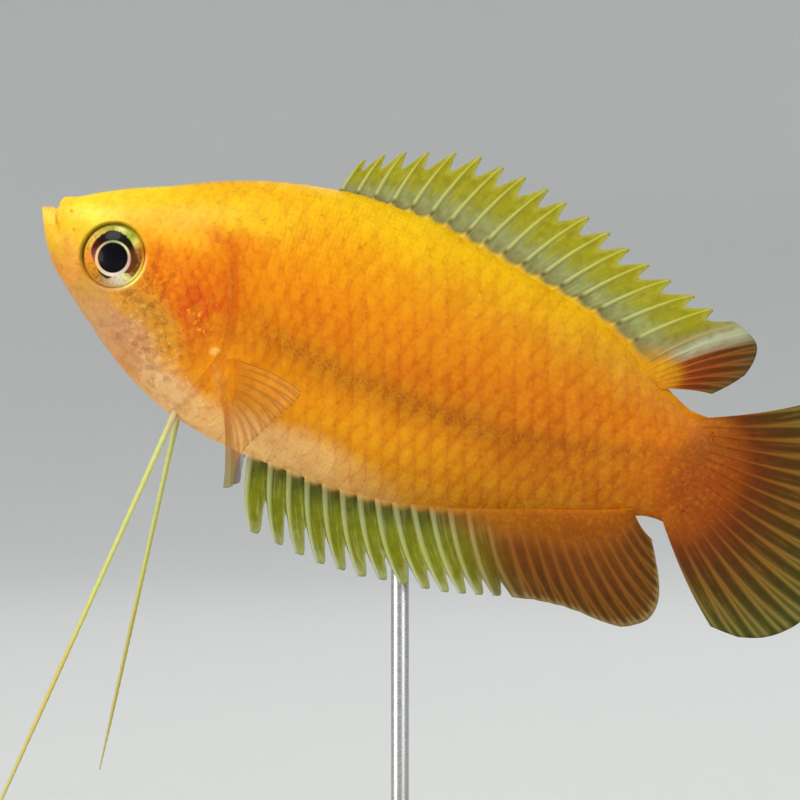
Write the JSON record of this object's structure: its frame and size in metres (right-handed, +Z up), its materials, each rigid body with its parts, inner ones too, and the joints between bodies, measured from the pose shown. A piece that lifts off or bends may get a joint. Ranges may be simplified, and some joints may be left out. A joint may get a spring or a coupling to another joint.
{
  "type": "sunset honey gourami model",
  "caption": "Life-size still model of a sunset honey gourami with spread fins and trailing pelvic threads, held by a slim rod on an oval base.",
  "frame": {"origin": "centre of the box round the whole model at the height of the stand's flat underside", "axes": "+X from the fish's mouth towards its tail along the floor, +Y towards its right flank, +Z up; the fish's own axis climbs 22 degrees towards the mouth"},
  "size_m": [0.0594, 0.032, 0.0499],
  "materials": {
    "head_skin": "moist scaled skin, lemon yellow above and pinkish tan below",
    "body_skin": "moist scaled skin, golden yellow back and deep orange flank",
    "eye": "clear glossy eye, gold and brown iris round a black pupil",
    "dorsal_membrane": "thin olive yellow membrane with pale spines",
    "anal_membrane": "thin membrane, olive in front and orange brown behind",
    "tail_membrane": "thin membrane, orange brown root and pale rays",
    "pectoral_membrane": "nearly clear membrane with fine amber rays",
    "thread": "smooth pale yellow green feeler",
    "stand_wood": "dark stained wood, satin",
    "stand_steel": "fine brushed steel"
  },
  "bodies": {
    "root": {"head": "head_skin", "trunk": "body_skin", "tail_stalk": "body_skin", "eye_left": "eye", "eye_right": "eye", "dorsal_fin": "dorsal_membrane", "anal_fin": "anal_membrane", "caudal_fin": "tail_membrane", "pectoral_fin_left": "pectoral_membrane", "pectoral_fin_right": "pectoral_membrane", "pelvic_thread_left": "thread", "pelvic_thread_right": "thread", "stand_base": "stand_wood", "stand_rod": "stand_steel"}
  },
  "joints": []
}
